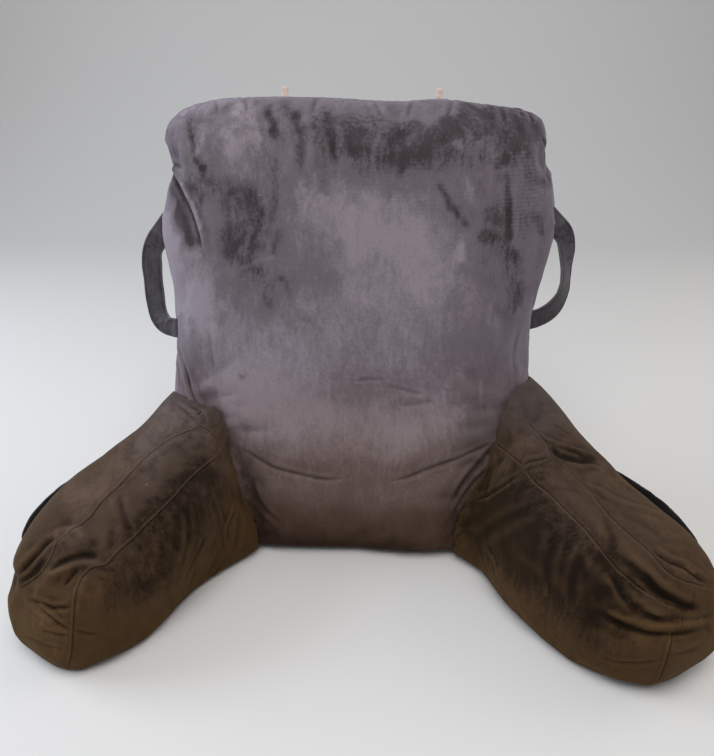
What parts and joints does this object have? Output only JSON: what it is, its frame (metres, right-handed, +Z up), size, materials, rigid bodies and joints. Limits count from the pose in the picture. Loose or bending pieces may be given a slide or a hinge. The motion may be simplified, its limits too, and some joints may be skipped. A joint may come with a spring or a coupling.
{
  "type": "reading pillow",
  "caption": "Plush reading pillow: a tall filled backrest that leans back, with splayed arms, strap handles and slack side pockets; stands on the floor or a bed.",
  "frame": {"origin": "centre of the footprint, on the surface that the pillow stands on", "axes": "+Z up, +Y from the sitter's side towards the back, +X to the right as seen from the front"},
  "size_m": [0.8624, 0.5065, 0.624],
  "materials": {
    "plush_backrest": "short-pile plush",
    "plush_arm": "short-pile plush",
    "strap": "folded plush strap",
    "pocket": "matt black cloth",
    "tape": "woven tape"
  },
  "bodies": {
    "root": {"backrest": "plush_backrest", "arm_left": "plush_arm", "arm_right": "plush_arm", "handle_left": "strap", "handle_right": "strap", "pocket_left": "pocket", "pocket_right": "pocket", "tab_left": "tape", "tab_right": "tape"}
  },
  "joints": []
}
